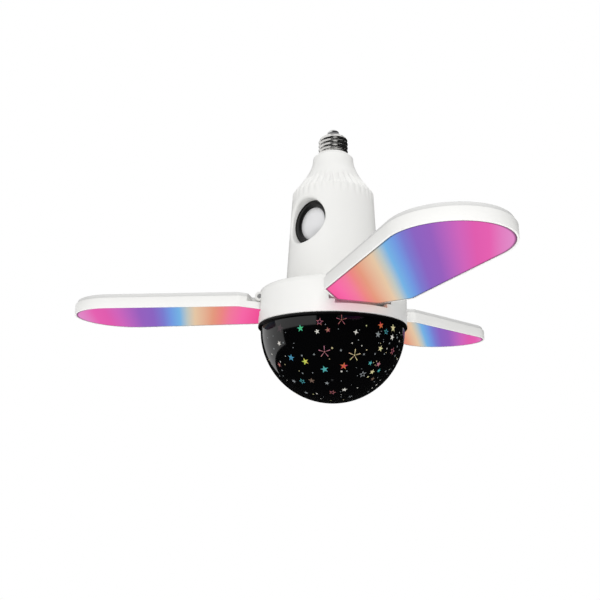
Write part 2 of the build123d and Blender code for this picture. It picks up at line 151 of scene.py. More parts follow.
def mixColour(tree, factor, first, second):
    return tree.node("ShaderNodeMix", {"data_type": "RGBA"}, {0: factor, 6: first, 7: second}, out=2)


def addGrain(tree, shader, scale, depth, strength=0.2):
    height = noise(tree, scale)
    bump = tree.node("ShaderNodeBump", values={"Strength": strength, "Distance": depth, "Height": height})
    tree.feed(shader.inputs["Normal"], bump)


# Finishes

shadeEnds = (0.35, 0.65)  # where the noise reaches the low and the high shade
# where the painted shade on the blades' upper tier begins
tierRise = 0.1 * mm  # a blade is greyer from this far over its lower tier
# shades: scale, low and high colour; roughness: scale, least and spread; grain: scale, depth and strength
surfaces = {
    "whitePlastic": {
        "colour": (0.9, 0.9, 0.88), "specular": 0.12,
        "shades": (18.0, (0.885, 0.882, 0.862), (0.91, 0.908, 0.888)),
        "roughness": (60.0, 0.3, 0.12), "grain": (2600.0, 0.05 * mm, 0.2),
    },
    "nickelPlate": {
        "colour": (0.72, 0.71, 0.69), "metallic": 1.0,
        "shades": (240.0, (0.62, 0.61, 0.59), (0.8, 0.79, 0.77)),
        "roughness": (420.0, 0.1, 0.2), "grain": (900.0, 0.03 * mm, 0.2),
    },
    "starBlack": {
        "colour": (0.001, 0.001, 0.0012), "specular": 0.42,
        "roughness": (35.0, 0.05, 0.06), "grain": (60.0, 0.02 * mm, 0.05),
    },
    "ringBlack": {
        "colour": (0.001, 0.001, 0.001), "specular": 0.15,
        "roughness": (200.0, 0.35, 0.15), "grain": (2000.0, 0.03 * mm, 0.2),
    },
    "blackRubber": {
        "colour": (0.004, 0.004, 0.004), "specular": 0.28,
        "roughness": (300.0, 0.24, 0.14), "grain": (3000.0, 0.05 * mm, 0.2),
    },
    "pearlCone": {
        "colour": (0.8, 0.8, 0.81), "metallic": 0.15,
        "shades": (40.0, (0.8, 0.8, 0.81), (0.84, 0.84, 0.85)),
        "roughness": (120.0, 0.3, 0.08), "grain": (3000.0, 0.02 * mm, 0.08),
    },
}
# the blades' white carries a painted shade on their upper tier, a little greyer where that tier turns upward
surfaces["tieredPlastic"] = {**surfaces["whitePlastic"], "tierPaintedShade": (0.74, 0.74, 0.73)}


def surface(name, look=None):
    look = look or surfaces[name]
    scale, least, spread = look["roughness"]
    material, tree, shader = newFinish(name, look["colour"], least + spread / 2,
                                       look.get("metallic", 0.0), look.get("specular", 0.5))
    tree.feed(shader.inputs["Roughness"], noise(tree, scale, 3.0) * spread + least)
    if "shades" in look:
        scale, low, high = look["shades"]
        stops = list(zip(shadeEnds, (low, high)))
        shade = tree.node("ShaderNodeValToRGB", {"stops": stops}, [noise(tree, scale, 4.0)])
        # painted shade: the upper tier is mixed towards a grey from tierRise over the lower tier
        if "tierPaintedShade" in look:
            height = tree.node("ShaderNodeAttribute", {"attribute_name": "overTier"}, out=2)
            over = tree.node("ShaderNodeMath", {"operation": "GREATER_THAN"}, [height, tierRise])
            shade = mixColour(tree, over, shade, (*look["tierPaintedShade"], 1))
        tree.feed(shader.inputs["Base Color"], shade)
    addGrain(tree, shader, *look["grain"])
    return material


def speckled(name, low, high, scale, roughness, metallic=0.0):
    # the grain and the gloss follow the scale of the speckles
    return surface(name, {
        "colour": low, "metallic": metallic, "shades": (scale, low, high),
        "roughness": (scale * 2, roughness - 0.08, 0.16), "grain": (scale * 12, 0.04 * mm, 0.2)})


boardLook = {
    "roughness": 0.35, "grain": (1500.0, 0.04 * mm),
    "stagger": 0.3, "cellScale": 120.0, "traceW": 0.06, "lighter": 1.25,
}


def circuitBoard(name, ground, trace):
    look = boardLook
    material, tree, shader = newFinish(name, ground, look["roughness"])
    place = tree.node("ShaderNodeTexCoord", out=3)
    cells = tree.node("ShaderNodeTexBrick", {"offset": look["stagger"]}, {
        "Vector": place, "Color1": (*ground, 1), "Color2": (*(part * look["lighter"] for part in ground), 1),
        "Mortar": (*trace, 1), "Scale": look["cellScale"], "Mortar Size": look["traceW"]})
    tree.feed(shader.inputs["Base Color"], cells)
    addGrain(tree, shader, *look["grain"])
    return material


panelLook = {
    # places along the left blade, in millimetres from the lamp's axis, and the colour there
    "stops": [
        (66.0, (0.88, 0.08, 0.31)), (81.0, (0.93, 0.14, 0.39)), (91.5, (0.89, 0.19, 0.34)),
        (99.5, (0.84, 0.24, 0.23)), (107.5, (0.78, 0.32, 0.21)), (115.5, (0.78, 0.45, 0.30)),
        (124.0, (0.78, 0.57, 0.38)), (131.0, (0.52, 0.57, 0.54)), (138.0, (0.18, 0.45, 0.78)),
        (146.0, (0.17, 0.32, 0.75)), (153.0, (0.20, 0.20, 0.63)), (162.0, (0.26, 0.13, 0.54)),
        (174.0, (0.31, 0.12, 0.52)), (185.0, (0.48, 0.13, 0.52)), (194.0, (0.63, 0.13, 0.50)),
        (205.0, (0.75, 0.11, 0.43)), (215.0, (0.79, 0.12, 0.44)), (224.0, (0.76, 0.21, 0.53)),
        (231.0, (0.75, 0.26, 0.58)),
    ],
    "glow": 0.95, "skin": 0.05, "grain": (3000.0, 0.03 * mm, 0.1),
    "drift": 0.012, "driftScale": 14.0,
    "rimShade": 0.8, "rimColour": (0.01, 0.01, 0.02),
}


def litPanel():
    look = panelLook
    first = look["stops"][0][0]
    reach = look["stops"][-1][0] - first
    stops = [((place - first) / reach, colour) for place, colour in look["stops"]]
    material, tree, shader = newFinish("litPanel", (0.5, 0.2, 0.4), specular=0.02)
    front = tree.node("ShaderNodeUVMap", {"uv_map": "front"})
    along = tree.node("ShaderNodeSeparateXYZ", values=[front])
    drift = (noise(tree, look["driftScale"], 3.0) - 0.5) * look["drift"]
    place = (along - first * mm) / (reach * mm) + drift
    colour = tree.node("ShaderNodeValToRGB", {"stops": stops}, [place])
    rim = Wire(tree, along.socket.node.outputs["Y"])
    colour = mixColour(tree, rim * look["rimShade"], colour, (*look["rimColour"], 1))
    tree.feed(shader.inputs["Base Color"], mixColour(tree, look["skin"], (0, 0, 0, 1), colour))
    tree.feed(shader.inputs["Emission Color"], colour)
    shader.inputs["Emission Strength"].default_value = look["glow"]
    addGrain(tree, shader, *look["grain"])
    return material


# hue and value: least, spread and scale; a hue of 0.5 leaves the tint as it is
starLook = {"hue": (0.38, 0.24, 420.0), "value": (0.45, 1.0, 900.0), "glow": 0.7}


def starLight():
    # each window shimmers from its own tint towards the hues beside it
    material, tree, shader = newFinish("starLight", (0.02, 0.02, 0.02), 0.3, specular=0.2)
    tint = tree.node("ShaderNodeAttribute", {"attribute_name": "tint"})
    (leastHue, hueSpread, hueScale), (leastValue, valueSpread, valueScale) = starLook["hue"], starLook["value"]
    hue = noise(tree, hueScale, 1.0) * hueSpread + leastHue
    value = noise(tree, valueScale) * valueSpread + leastValue
    shimmer = tree.node("ShaderNodeHueSaturation", values={"Color": tint, "Hue": hue, "Value": value})
    tree.feed(shader.inputs["Emission Color"], shimmer)
    shader.inputs["Emission Strength"].default_value = starLook["glow"]
    return material


finishes = {
    "white_plastic": surface("whitePlastic"),
    "nickel": surface("nickelPlate"),
    "black_glass": speckled("blackGlass", (0.01, 0.01, 0.012), (0.03, 0.03, 0.035), 60.0, 0.15),
    "solder": speckled("tinnedContact", (0.6, 0.6, 0.6), (0.74, 0.74, 0.73), 500.0, 0.3, 1.0),
    "star_black": surface("starBlack"),
    "lit_diffuser": litPanel(),
    "black_rubber": surface("blackRubber"),
    "silver_cone": surface("pearlCone"),
    "ferrite": speckled("ferrite", (0.03, 0.03, 0.032), (0.07, 0.07, 0.075), 300.0, 0.55),
    "green_board": circuitBoard("greenBoard", (0.02, 0.14, 0.05), (0.05, 0.24, 0.08)),
    "white_board": circuitBoard("whiteBoard", (0.8, 0.8, 0.78), (0.7, 0.62, 0.4)),
    "steel": speckled("zincSteel", (0.5, 0.5, 0.51), (0.64, 0.64, 0.64), 400.0, 0.32, 1.0),
    "dark_plastic": speckled("darkPlastic", (0.02, 0.02, 0.022), (0.04, 0.04, 0.042), 200.0, 0.45),
    "copper_winding": speckled("copperWinding", (0.55, 0.22, 0.08), (0.7, 0.32, 0.14), 800.0, 0.35, 0.9),
}
tieredPlastic = surface("tieredPlastic")
ringFinish = surface("ringBlack")
starFinish = starLight()
print("finishes made:", len(finishes) + 3)


# Mesh helpers

poleR = 1e-7  # a ring narrower than this closes in one point


def makeObject(name, data):
    made = bpy.data.objects.new(name, data)
    bpy.context.scene.collection.objects.link(made)
    return made


def plainObject(name, bm):
    mesh = bpy.data.meshes.new(name)
    bm.to_mesh(mesh)
    bm.free()
    return makeObject(name, mesh)


def fromBmesh(name, bm, smoothAngle=35.0):
    bmesh.ops.remove_doubles(bm, verts=bm.verts, dist=0.002 * mm)
    bmesh.ops.recalc_face_normals(bm, faces=bm.faces)
    return shadeSmooth(plainObject(name, bm), smoothAngle)


def shadeSmooth(piece, smoothAngle):
    piece.data.shade_smooth()
    piece.data.set_sharp_from_angle(angle=math.radians(smoothAngle))
    return piece


def evaluated(piece, name, smoothAngle=35.0):
    graph = bpy.context.evaluated_depsgraph_get()
    mesh = bpy.data.meshes.new_from_object(piece.evaluated_get(graph))
    bpy.data.objects.remove(piece)
    mesh.name = name
    return shadeSmooth(makeObject(name, mesh), smoothAngle)


def combined(piece, others, operation):
    for other in others:
        modifier = piece.modifiers.new("shape", "BOOLEAN")
        modifier.operation = operation
        modifier.solver = "EXACT"
        modifier.object = other
    made = evaluated(piece, piece.name)
    for other in others:
        bpy.data.objects.remove(other)
    return made


def lathe(name, profile, segments, matrix=None, smoothAngle=35.0):
    bm = bmesh.new()
    turns = [2 * math.pi * step / segments for step in range(segments)]
    rings = []
    for radius, height in profile:
        if radius < poleR:
            rings.append([bm.verts.new((0, 0, height))])
        else:
            rings.append([bm.verts.new(polar(radius, turn, height)) for turn in turns])
    for lower, upper in zip(rings, rings[1:]):
        bridge(bm, lower, upper)
    if profile[0][0] > poleR and profile[-1][0] > poleR:
        bridge(bm, rings[-1], rings[0])
    if matrix is not None:
        bmesh.ops.transform(bm, matrix=matrix, verts=bm.verts)
    return fromBmesh(name, bm, smoothAngle)


def rod(name, radius, half, segments, matrix):
    return lathe(name, [(0, -half), (radius, -half), (radius, half), (0, half)], segments, matrix)


def polar(radius, turn, height=0.0):
    return radius * math.cos(turn), radius * math.sin(turn), height


def bridge(bm, lower, upper):
    count = max(len(lower), len(upper))
    for step in range(count):
        after = (step + 1) % count
        corners = [lower[step % len(lower)]]
        if len(lower) > 1:
            corners.append(lower[after])
        if len(upper) > 1:
            corners.append(upper[after])
        corners.append(upper[step % len(upper)])
        bm.faces.new(corners)


def boxPiece(name, low, high, matrix=None):
    bm = bmesh.new()
    bmesh.ops.create_cube(bm, size=1.0)
    low, high = Vector(low), Vector(high)
    place = Matrix.Translation((high + low) / 2) @ Matrix.Diagonal((*(high - low), 1))
    bmesh.ops.transform(bm, matrix=(matrix or Matrix()) @ place, verts=bm.verts)
    return fromBmesh(name, bm)


def arcPoints(centre, radius, start, end, count):
    points = []
    for step in range(count + 1):
        turn = math.radians(start + (end - start) * step / count)
        points.append((centre[0] + radius * math.cos(turn), centre[1] + radius * math.sin(turn)))
    return points


def straightPoints(start, end, count):
    return [(start[0] + (end[0] - start[0]) * step / count, start[1] + (end[1] - start[1]) * step / count)
            for step in range(count + 1)]


def turned(azimuth):
    return Matrix.Rotation(math.radians(azimuth), 4, "Z")


def settle(piece, body, finish, *nodes, slot="star_black"):
    piece.data.materials.clear()
    piece.data.materials.append(finishes[finish] if isinstance(finish, str) else finish)
    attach(piece, body)
    if nodes:
        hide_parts(*nodes)
    return piece


# Geometry node helpers

def newShapeTree(name, labels):
    group = bpy.data.node_groups.new(name, "GeometryNodeTree")
    group.interface.new_socket("Geometry", in_out="INPUT", socket_type="NodeSocketGeometry")
    for label in labels:
        group.interface.new_socket(label, in_out="INPUT", socket_type="NodeSocketFloat")
    group.interface.new_socket("Geometry", in_out="OUTPUT", socket_type="NodeSocketGeometry")
    tree = Tree(group)
    source = group.nodes.new("NodeGroupInput")
    wires = {socket.name: Wire(tree, socket) for socket in source.outputs if socket.name}
    return group, tree, wires


def endShapeTree(group, tree, geometry, material):
    real = tree.node("GeometryNodeRealizeInstances", values=[geometry])
    painted = tree.node("GeometryNodeSetMaterial", values={"Geometry": real, "Material": material})
    tree.feed(group.nodes.new("NodeGroupOutput").inputs[0], painted)
    return group


def splitPlace(tree):
    split = tree.node("ShaderNodeSeparateXYZ", values=[tree.node("GeometryNodeInputPosition")])
    x, y, z = (Wire(tree, socket) for socket in split.socket.node.outputs)
    return x, y, z, tree.node("ShaderNodeMath", {"operation": "ARCTAN2"}, [y, x])


def softStep(tree, value, start, end):
    return tree.node("ShaderNodeMapRange", {"interpolation_type": "SMOOTHSTEP"},
                     {"Value": value, "From Min": start, "From Max": end})


def grown(piece, group, values, name, smoothAngle=35.0):
    modifier = piece.modifiers.new("shape", "NODES")
    modifier.node_group = group
    for item in group.interface.items_tree:
        if item.in_out == "INPUT" and item.name in values:
            modifier[item.identifier] = values[item.name]
    return evaluated(piece, name, smoothAngle)


# Screw base

screwBase = {
    "crestR": 13.15 * mm,
    "threadDepth": 1.05 * mm,
    "pitch": 3.63 * mm,
    "straightTop": 12.5 * mm,
    "taperH": 4.5 * mm,
    "mouthR": 9.6 * mm,
    "plainFoot": 1.0 * mm,
    "footEdge": 0.5 * mm, "wall": 1.6 * mm, "lip": 0.4 * mm,
    # where the thread sets in, as shares of the plain foot, and where it runs out, of the straight part
    "threadIn": (0.4, 1.6), "threadOut": (1.32, 1.1),
    "stepsAround": 128, "stepsPerTurn": 20, "taperSteps": 24,
}


def threadTree(base, sizes):
    group, tree, wires = newShapeTree("rolledThread", sizes)
    x, y, z, turn = splitPlace(tree)
    phase = z / wires["Pitch"] * math.tau - turn
    wave = tree.node("ShaderNodeMath", {"operation": "COSINE"}, [phase])
    fadeIn = softStep(tree, z, *(wires["Plain Foot"] * share for share in base["threadIn"]))
    fadeOut = softStep(tree, z, *(wires["Straight Top"] * share for share in base["threadOut"]))
    sink = (1 - wave) * 0.5 * wires["Thread Depth"] * fadeIn * fadeOut
    shrink = 1 - sink / wires["Crest Radius"]
    moved = tree.node("ShaderNodeCombineXYZ", values=[x * shrink, y * shrink, z])
    shaped = tree.node("GeometryNodeSetPosition", values={"Geometry": wires["Geometry"], "Position": moved})
    return endShapeTree(group, tree, shaped, finishes["nickel"])


def makeScrewShell():
    base = screwBase
    crest, shoulder = base["crestR"], base["straightTop"]
    rings = int(shoulder / (base["pitch"] / base["stepsPerTurn"]))
    profile = [(crest - base["footEdge"], 0)] + straightPoints((crest, 0), (crest, shoulder), rings)
    for step in range(1, base["taperSteps"] + 1):
        turn = step / base["taperSteps"] * math.pi / 2
        profile.append((crest + (base["mouthR"] - crest) * (1 - math.cos(turn)),
                        shoulder + base["taperH"] * math.sin(turn)))
    inside = base["mouthR"] - base["lip"]
    top = shoulder + base["taperH"]
    profile += [(inside, top), (inside, top - base["lip"])]
    profile += [(crest - base["wall"], shoulder), (crest - base["wall"], 0)]
    blank = lathe("shellBlank", profile, base["stepsAround"])
    sizes = {"Crest Radius": crest, "Thread Depth": base["threadDepth"], "Pitch": base["pitch"],
             "Plain Foot": base["plainFoot"], "Straight Top": shoulder}
    shell = grown(blank, threadTree(base, sizes), sizes, "screwShell", 60.0)
    return settle(shell, "root", "nickel", "screw_shell")


makeScrewShell()
print("screw base made")


# Upper housing

housing = {
    "footR": 40.4 * mm, "footZ": 30.5 * mm,
    "barrelTopR": 35.7 * mm, "barrelTopZ": 118.0 * mm,
    "crownR": 32.2 * mm, "crownZ": 122.4 * mm,
    "neckR": 17.9 * mm, "neckTopZ": 153.6 * mm, "neckEdge": 1.2 * mm,
    # the flare's directions at its foot and at its top
    "flareWays": ((-0.6, 0.8), (-0.02, 1)),
    "stepR": 14.5 * mm, "stepH": 2.9 * mm, "stepEdge": 0.5 * mm, "stepFoot": 0.4 * mm,
    "barrelSteps": 30, "crownSteps": 8, "flareSteps": 48, "neckSteps": 5,
    "fluteCount": 36, "stepsPerFlute": 12,
    "fluteDepth": 1.25 * mm, "fluteHalfW": 2.1 * mm,
    "lowFlutes": (111.5 * mm, 117.4 * mm), "lowShare": 0.5,
    "highFlutes": (119.2 * mm, 135.0 * mm), "scallop": 2.4 * mm,
    "fluteRise": 1.2 * mm, "fluteFade": 0.6,
}
speaker = {
    "azimuth": -126.0,
    "height": 86.5 * mm,
    "wellR": 19.9 * mm, "wellGap": 0.05 * mm,
    "seat": 22.6 * mm,
    "flange": 1.8 * mm,
    "coneR": 14.1 * mm, "coneRise": 3.6 * mm, "coneT": 0.7 * mm, "coneRim": (0.25 * mm, 0.8 * mm),
    "coneGap": 0.3 * mm, "rollT": 0.8 * mm,
    "gasketH": 2.2 * mm, "gasketT": 0.8 * mm,
    # the round of the well's mouth: its radius varies and is largest at this turn
    "mouthR": 3.5 * mm, "mouthLeastR": 1.8 * mm, "softestTurn": 135.0,
    "mouthBend": 72.0, "mouthSteps": 8,
    # how far the cutter reaches past the housing
    "cutFlare": 2.0 * mm, "cutOut": 12.0 * mm, "cutTop": 10.0 * mm,
    "stepsAround": 128, "wellSteps": 160, "rollSteps": 20, "capSteps": 24,
}


def hermite(start, end, startWay, endWay, count):
    # the same curve as a spline with two end points and two end tangents
    start, end = np.array(start), np.array(end)
    reach = np.linalg.norm(end - start)
    startWay, endWay = (np.array(way) / np.linalg.norm(way) * reach for way in (startWay, endWay))
    points = []
    for step in range(count + 1):
        t = step / count
        points.append(tuple((2 * t ** 3 - 3 * t ** 2 + 1) * start + (t ** 3 - 2 * t ** 2 + t) * startWay
                            + (3 * t ** 2 - 2 * t ** 3) * end + (t ** 3 - t ** 2) * endWay))
    return points


def housingProfile():
    h = housing
    barrelTop, crown = (h["barrelTopR"], h["barrelTopZ"]), (h["crownR"], h["crownZ"])
    barrel = straightPoints((h["footR"], h["footZ"]), barrelTop, h["barrelSteps"])
    edge = straightPoints(barrelTop, crown, h["crownSteps"])[1:-1]
    neckFoot = h["neckTopZ"] - h["neckEdge"]
    flare = hermite(crown, (h["neckR"], neckFoot), *h["flareWays"], h["flareSteps"])
    neckRound = arcPoints((h["neckR"] - h["neckEdge"], neckFoot), h["neckEdge"], 15, 90, h["neckSteps"])
    seat = h["neckTopZ"] + h["stepH"]
    step = [(h["stepR"] + h["stepEdge"], h["neckTopZ"]), (h["stepR"], h["neckTopZ"] + h["stepFoot"]),
            (h["stepR"], seat - h["stepEdge"]), (h["stepR"] - h["stepEdge"], seat), (0, seat)]
    return [(0, h["footZ"])] + barrel + edge + flare + neckRound + step


def fluteTree(h, sizes):
    group, tree, wires = newShapeTree("flutedShoulder", sizes)
    x, y, z, turn = splitPlace(tree)
    radius = tree.node("ShaderNodeVectorMath", {"operation": "LENGTH"},
                       [tree.node("ShaderNodeCombineXYZ", values=[x, y, 0.0])], out=1)
    offset = tree.node("ShaderNodeMath", {"operation": "PINGPONG"}, [turn, math.tau / wires["Count"] * 0.5])
    sideways = offset * radius / wires["Half Width"]
    groove = tree.node("ShaderNodeMath", {"operation": "MAXIMUM"}, [1 - sideways * sideways, 0.0])
    total = 0.0
    for band, share in (("Low", h["lowShare"]), ("High", 1.0)):
        start, end = wires[band + " From"], wires[band + " To"]
        enter = softStep(tree, z + groove * h["scallop"], start, start + h["fluteRise"])
        leave = softStep(tree, z, end, end - (end - start) * h["fluteFade"])
        total = enter * leave * share + total
    normal = tree.node("GeometryNodeInputNormal")
    push = groove * total * wires["Depth"] * -1.0
    shift = tree.node("ShaderNodeVectorMath", {"operation": "SCALE"}, {0: normal, "Scale": push})
    shaped = tree.node("GeometryNodeSetPosition", values={"Geometry": wires["Geometry"], "Offset": shift})
    return endShapeTree(group, tree, shaped, finishes["white_plastic"])


def speakerMatrix(distance=0.0):
    out = Vector(polar(1.0, math.radians(speaker["azimuth"])))
    side = lampUp.cross(out)
    axes = Matrix((side, lampUp, out)).transposed().to_4x4()
    return Matrix.Translation(out * distance + Vector((0, 0, rimZ + speaker["height"]))) @ axes


def barrelRadius(height):
    h = housing
    share = (height - h["footZ"]) / (h["barrelTopZ"] - h["footZ"])
    return h["footR"] + (h["barrelTopR"] - h["footR"]) * share


def makeWell():
    # the loudspeaker's well, whose mouth opens in a round, softest towards its upper left
    s = speaker
    bm = bmesh.new()
    matrix = speakerMatrix()
    bends = [math.radians(s["mouthBend"] * step / s["mouthSteps"]) for step in range(s["mouthSteps"] + 1)]
    bottom = bm.verts.new(matrix @ Vector((0, 0, s["seat"])))
    top = bm.verts.new(matrix @ Vector((0, 0, housing["footR"] + s["cutTop"])))
    loops = [[] for _ in range(len(bends) + 2)]
    for step in range(s["wellSteps"]):
        turn = 2 * math.pi * step / s["wellSteps"]
        share = 0.5 + 0.5 * math.cos(turn - math.radians(s["softestTurn"]))
        soft = s["mouthLeastR"] + (s["mouthR"] - s["mouthLeastR"]) * share
        marks = [(s["wellR"], s["seat"])]
        marks += [(s["wellR"] + soft * (1 - math.cos(bend)), soft * (math.sin(bend) - 1)) for bend in bends]
        marks.append((marks[-1][0] + s["cutFlare"], s["cutOut"]))
        for number, (loop, (radius, out)) in enumerate(zip(loops, marks)):
            side, up = radius * math.cos(turn), radius * math.sin(turn)
            if number > 0:
                out += math.sqrt(barrelRadius(s["height"] + up) ** 2 - side ** 2)
            loop.append(bm.verts.new(matrix @ Vector((side, up, out))))
    for lower, upper in zip([[bottom]] + loops, loops + [[top]]):
        bridge(bm, lower, upper)
    return fromBmesh("well", bm)


def makeHousing():
    h = housing
    blank = lathe("housingBlank", housingProfile(), h["fluteCount"] * h["stepsPerFlute"])
    sizes = {"Count": float(h["fluteCount"]), "Depth": h["fluteDepth"], "Half Width": h["fluteHalfW"],
             "Low From": h["lowFlutes"][0], "Low To": h["lowFlutes"][1],
             "High From": h["highFlutes"][0], "High To": h["highFlutes"][1]}
    body = grown(blank, fluteTree(h, sizes), sizes, "upperHousing")
    body.data.transform(Matrix.Translation((0, 0, rimZ)))
    body = combined(body, [makeWell()], "DIFFERENCE")
    return settle(shadeSmooth(body, 30.0), "root", "white_plastic", "upper_housing")


makeHousing()
print("upper housing made")


# Loudspeaker

def makeSpeaker():
    s = speaker
    face = speakerMatrix(s["seat"] + s["flange"])
    inner = s["coneR"] + s["coneGap"]
    wall = s["wellR"] - s["wellGap"]
    outer = wall - s["gasketT"]
    middle = (inner + outer) / 2
    roll = (outer - inner) / 2
    top = arcPoints((middle, 0), roll, 0, 180, s["rollSteps"])
    under = arcPoints((middle, 0), roll - s["rollT"], 0, 180, s["rollSteps"])
    gasket = [(outer, s["gasketH"]), (wall, s["gasketH"]), (wall, 0), (outer - s["rollT"], 0)]
    surround = lathe("speakerSurround", gasket + under + top, s["stepsAround"], face, 50.0)
    settle(surround, "root", "black_rubber", "speaker_surround")
    ballR = (s["coneR"] ** 2 + s["coneRise"] ** 2) / (2 * s["coneRise"])
    edge = math.degrees(math.asin(s["coneR"] / ballR))
    cap = arcPoints((0, s["coneRise"] - ballR), ballR, 90, 90 - edge, s["capSteps"])
    rim = [(s["coneR"] - inset, 0.0) for inset in s["coneRim"]]
    back = [(radius, height - s["coneT"]) for radius, height in cap[-2::-1]]
    cone = lathe("speakerCone", cap + rim + back, s["stepsAround"], face, 60.0)
    settle(cone, "cone", "silver_cone", "speaker_cone")


makeSpeaker()
print("loudspeaker made")


# Hub

hub = {
    "radius": 63.0 * mm, "height": 30.5 * mm, "wall": 2.2 * mm, "edge": 5.0 * mm, "rimEdge": 0.5 * mm,
    "holeR": 14.0 * mm,
    "pocketBack": 48.0 * mm, "pocketWall": 2.0 * mm,
    "slotHalfW": 22.5 * mm, "slotFloor": 6.5 * mm,
    "recessHalfW": 27.0 * mm, "shelf": 9.8 * mm,
    "notchHalfW": 15.6 * mm, "notchBack": 58.5 * mm,
    # how far the pockets' walls stop under the top and inside the skin, and how far cutters reach out
    "roofGap": 0.4 * mm, "skinGap": 0.01 * mm, "beyond": 20.0 * mm,
    "stepsAround": 192, "edgeSteps": 12,
}


def hubOutline(inset):
    h = hub
    radius, height, edge = h["radius"] - inset, h["height"] - inset, h["edge"] - inset
    return arcPoints((radius - edge, height - edge), edge, 0, 90, h["edgeSteps"])


def makeHub():
    h = hub
    radius, height = h["radius"], h["height"]
    roof = height - h["wall"]
    outer = [(radius - h["rimEdge"], 0), (radius, h["rimEdge"])] + hubOutline(0) + [(h["holeR"], height)]
    inner = [(h["holeR"], roof)] + hubOutline(h["wall"])[::-1] + [(radius - h["wall"], 0)]
    body = lathe("hub", outer + inner, h["stepsAround"])
    low = h["slotFloor"] - h["pocketWall"]
    back = h["pocketBack"] - h["pocketWall"]
    halfW = h["recessHalfW"] + h["pocketWall"]
    far = radius + h["beyond"]
    skin = [(0, 0), (radius - h["skinGap"], 0)] + hubOutline(h["skinGap"]) + [(0, height)]
    cuts = [(h["pocketBack"], h["slotHalfW"], h["slotFloor"], roof),
            (h["pocketBack"], h["recessHalfW"], h["shelf"], roof),
            (h["notchBack"], h["notchHalfW"], roof - mm, far)]
    for azimuth in bladeSides.values():
        wall = boxPiece("wall", (back, -halfW, low), (far, halfW, height - h["roofGap"]), turned(azimuth))
        wall = combined(wall, [lathe("whole", skin, h["stepsAround"])], "INTERSECT")
        body = combined(body, [wall], "UNION")
    pockets = [boxPiece("pocket", (start, -half, floor), (far, half, top), turned(azimuth))
               for azimuth in bladeSides.values() for start, half, floor, top in cuts]
    body = combined(body, pockets, "DIFFERENCE")
    body.data.transform(Matrix.Translation((0, 0, rimZ)))
    return settle(shadeSmooth(body, 30.0), "root", "white_plastic", "collar")


makeHub()
print("hub made")


# Blades

blade = {
    "under": 11.4 * mm,
    "rootR": 49.5 * mm, "rootHalfW": 18.5 * mm,
    "shoulderR": 73.0 * mm, "shoulderHalfW": 38.2 * mm, "cornerR": 7.0 * mm,
    "tipCentreR": 188.0 * mm, "tipHalfW": 43.0 * mm,
    "lowerTier": 9.0 * mm, "height": 12.6 * mm, "tierStep": 1.6 * mm,
    "softEdge": 0.45 * mm, "softShare": 0.3,
    "thinRoot": 5.5 * mm, "thickStart": 67.5 * mm,
    "border": 1.4 * mm, "borderEdge": (0.15 * mm, 0.1 * mm),
    "panelT": 1.6 * mm, "panelRecess": 0.3 * mm, "panelGap": 0.2 * mm, "panelEdge": 0.3 * mm, "rimW": 1.8 * mm,
    "hingeR": 60.0 * mm, "hingeZ": 23.9 * mm, "knuckleR": 4.0 * mm, "knuckleHalfW": 14.8 * mm,
    "pinR": 2.05 * mm,
    "cornerSteps": 8, "sideSteps": 20, "tipSteps": 36, "barrelSteps": 48, "boreSteps": 32,
    "tierTurns": range(0, 91, 15),
    # degrees above level as the lamp is shown
    "lift": {"left": 0.0, "front": 2.8, "rear": 1.7},
    # the bands of colour: their slant, where the blue starts on the middle line, and their width
    "bands": {
        "left": (0.32, 129.2 * mm, 1.0),
        "front": (1.42, 111.4 * mm, 1.43),
        "rear": (-1.91, 143.0 * mm, 1.41),
    },
    "blueStart": 131.0 * mm,
}


def bladeMatrix(side):
    hinge = Matrix.Translation((blade["hingeR"], 0, blade["hingeZ"]))
    lift = Matrix.Rotation(math.radians(-blade["lift"][side]), 4, "Y")
    return Matrix.Translation((0, 0, rimZ)) @ turned(bladeSides[side]) @ hinge @ lift @ hinge.inverted()


def cornerArc(before, corner, after, radius, count):
    # points of the round that touches both straight runs at a corner
    before, corner, after = Vector(before), Vector(corner), Vector(after)
    first = (before - corner).normalized()
    second = (after - corner).normalized()
    half = first.angle(second) / 2
    reach = radius / math.tan(half)
    centre = corner + (first + second).normalized() * (radius / math.sin(half))
    start, end = corner + first * reach, corner + second * reach
    return [centre + (start - centre).lerp(end - centre, step / count).normalized() * radius
            for step in range(count + 1)]


def bladeOutline():
    b = blade
    root = (b["rootR"], b["rootHalfW"])
    shoulder = (b["shoulderR"], b["shoulderHalfW"])
    tipStart = (b["tipCentreR"], b["tipHalfW"])
    side = cornerArc((b["rootR"], 0), root, shoulder, b["cornerR"], b["cornerSteps"])
    side += cornerArc(root, shoulder, tipStart, b["cornerR"], b["cornerSteps"])
    count = b["sideSteps"]
    side += [Vector(shoulder).lerp(Vector(tipStart), step / count) for step in range(2, count)]
    tip = [Vector(point) for point in arcPoints((b["tipCentreR"], 0), b["tipHalfW"], 90, 0, b["tipSteps"])]
    half = side + tip
    return half + [Vector((point.x, -point.y)) for point in half[-2::-1]]


def insetLoop(points, inset):
    moved = []
    for before, here, after in zip(points[-1:] + points, points, points[1:] + points[:1]):
        first = (here - before).normalized()
        second = (after - here).normalized()
        way = (first + second).normalized()
        normal = Vector((way.y, -way.x))
        stretch = 1 / max(normal.dot(Vector((first.y, -first.x))), 0.5)
        moved.append(here + normal * inset * stretch)
    return moved


def stackLoops(bm, levels):
    # blade outlines at their insets and heights, joined into one closed body
    outline = bladeOutline()
    loops = [[bm.verts.new((*point, height)) for point in insetLoop(outline, inset)]
             for inset, height in levels]
    for lower, upper in zip(loops, loops[1:]):
        bridge(bm, lower, upper)
    bm.faces.new(loops[0])
    bm.faces.new(loops[-1])
    return loops


